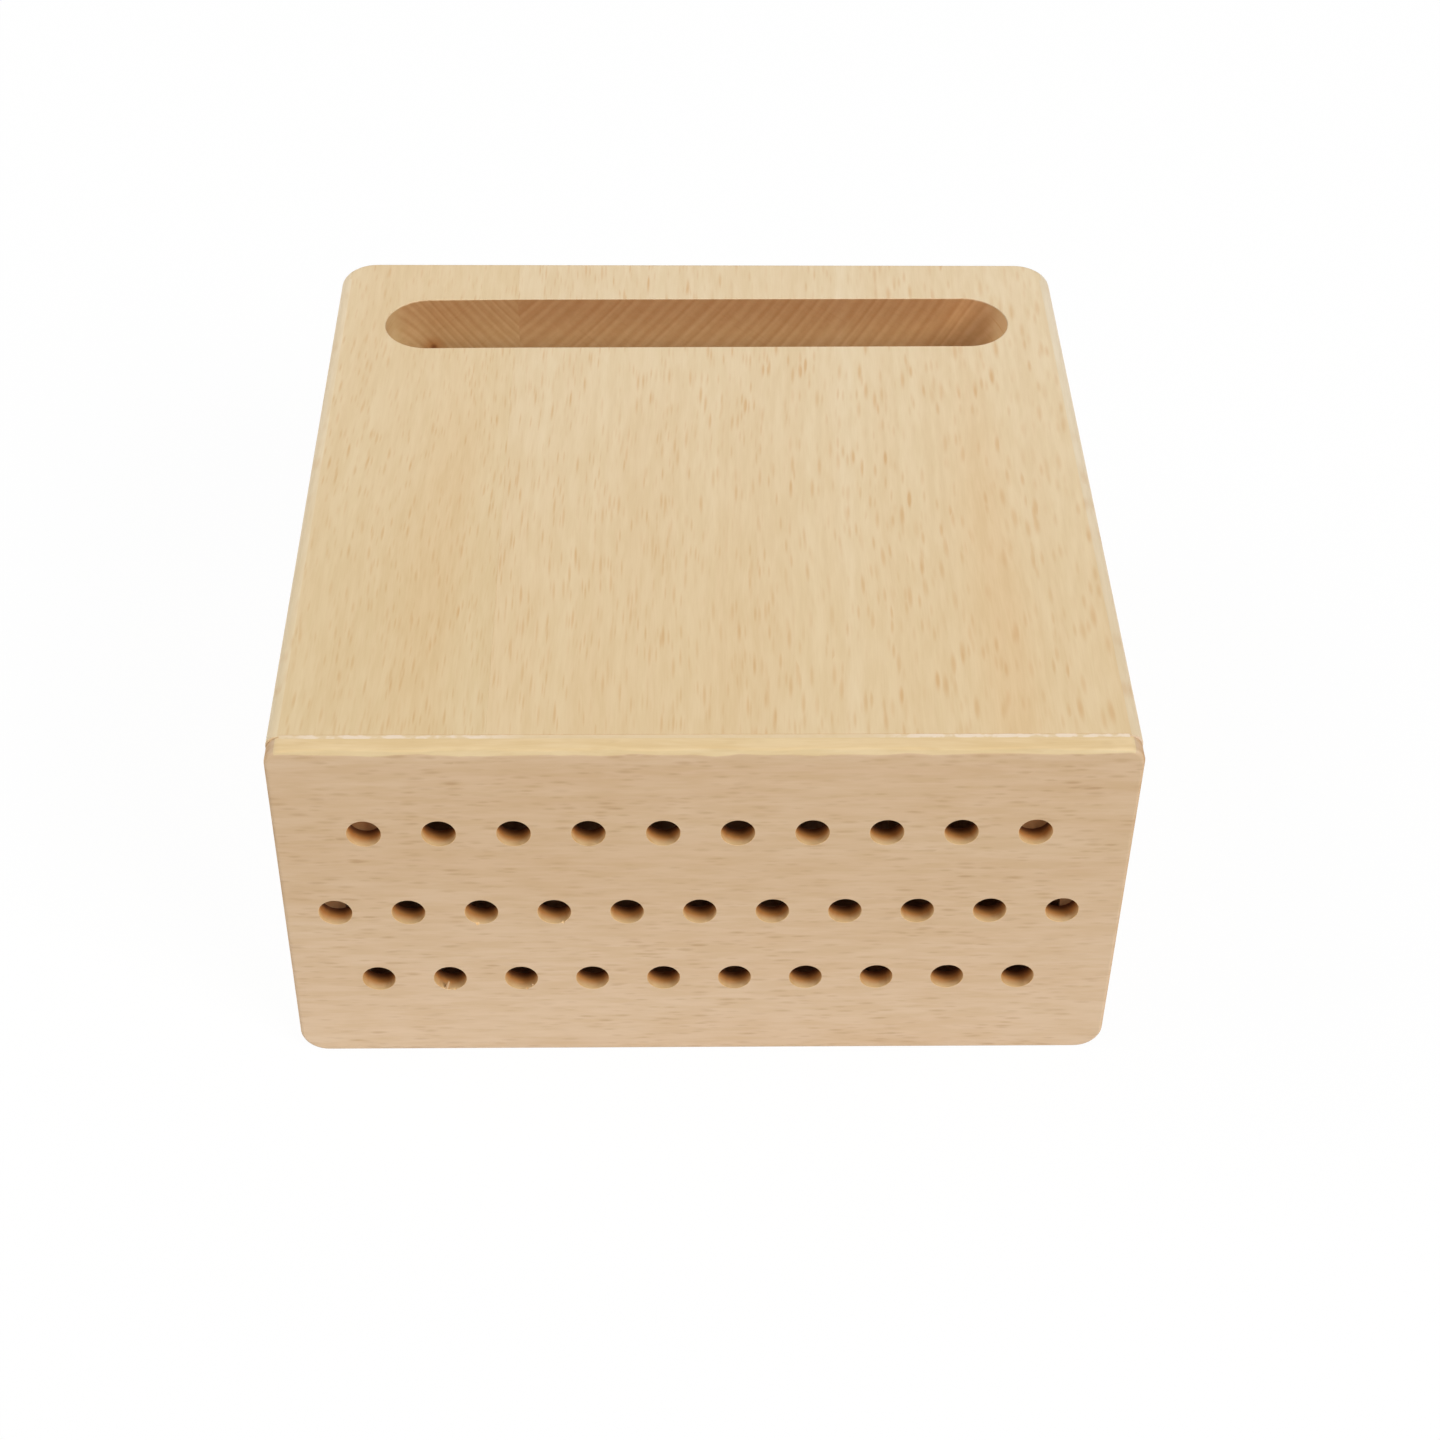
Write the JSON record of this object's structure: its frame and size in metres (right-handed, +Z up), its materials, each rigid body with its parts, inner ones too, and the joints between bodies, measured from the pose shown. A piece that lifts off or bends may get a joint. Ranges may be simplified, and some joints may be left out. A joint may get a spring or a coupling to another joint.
{
  "type": "tool storage caddy",
  "caption": "Hollow beech block glued from boards, with rows of round tool holes in a thin front plate and a long round-ended slot through the top panel.",
  "frame": {"origin": "centre of the underside, on the surface that the block lies on", "axes": "+Z up through the slotted top panel, -Y out of the drilled plate, +X to the right seen from the plate"},
  "size_m": [0.15, 0.1554, 0.0755],
  "materials": {
    "plate_beech": "fine sanded, bare or thinly oiled",
    "top_beech_left": "fine sanded, bare or thinly oiled",
    "top_beech_right": "fine sanded, bare or thinly oiled",
    "side_beech": "fine sanded, bare or thinly oiled",
    "bottom_beech": "fine sanded, bare or thinly oiled",
    "inner_beech": "sawn, bare"
  },
  "bodies": {
    "root": {"hole_plate": "plate_beech", "top_board_narrow": "top_beech_left", "top_board_wide": "top_beech_right", "left_side": "side_beech", "right_side": "side_beech", "bottom_board_narrow": "bottom_beech", "bottom_board_wide": "bottom_beech", "back_board": "side_beech", "left_glue_block": "inner_beech", "right_glue_block": "inner_beech"}
  },
  "joints": []
}
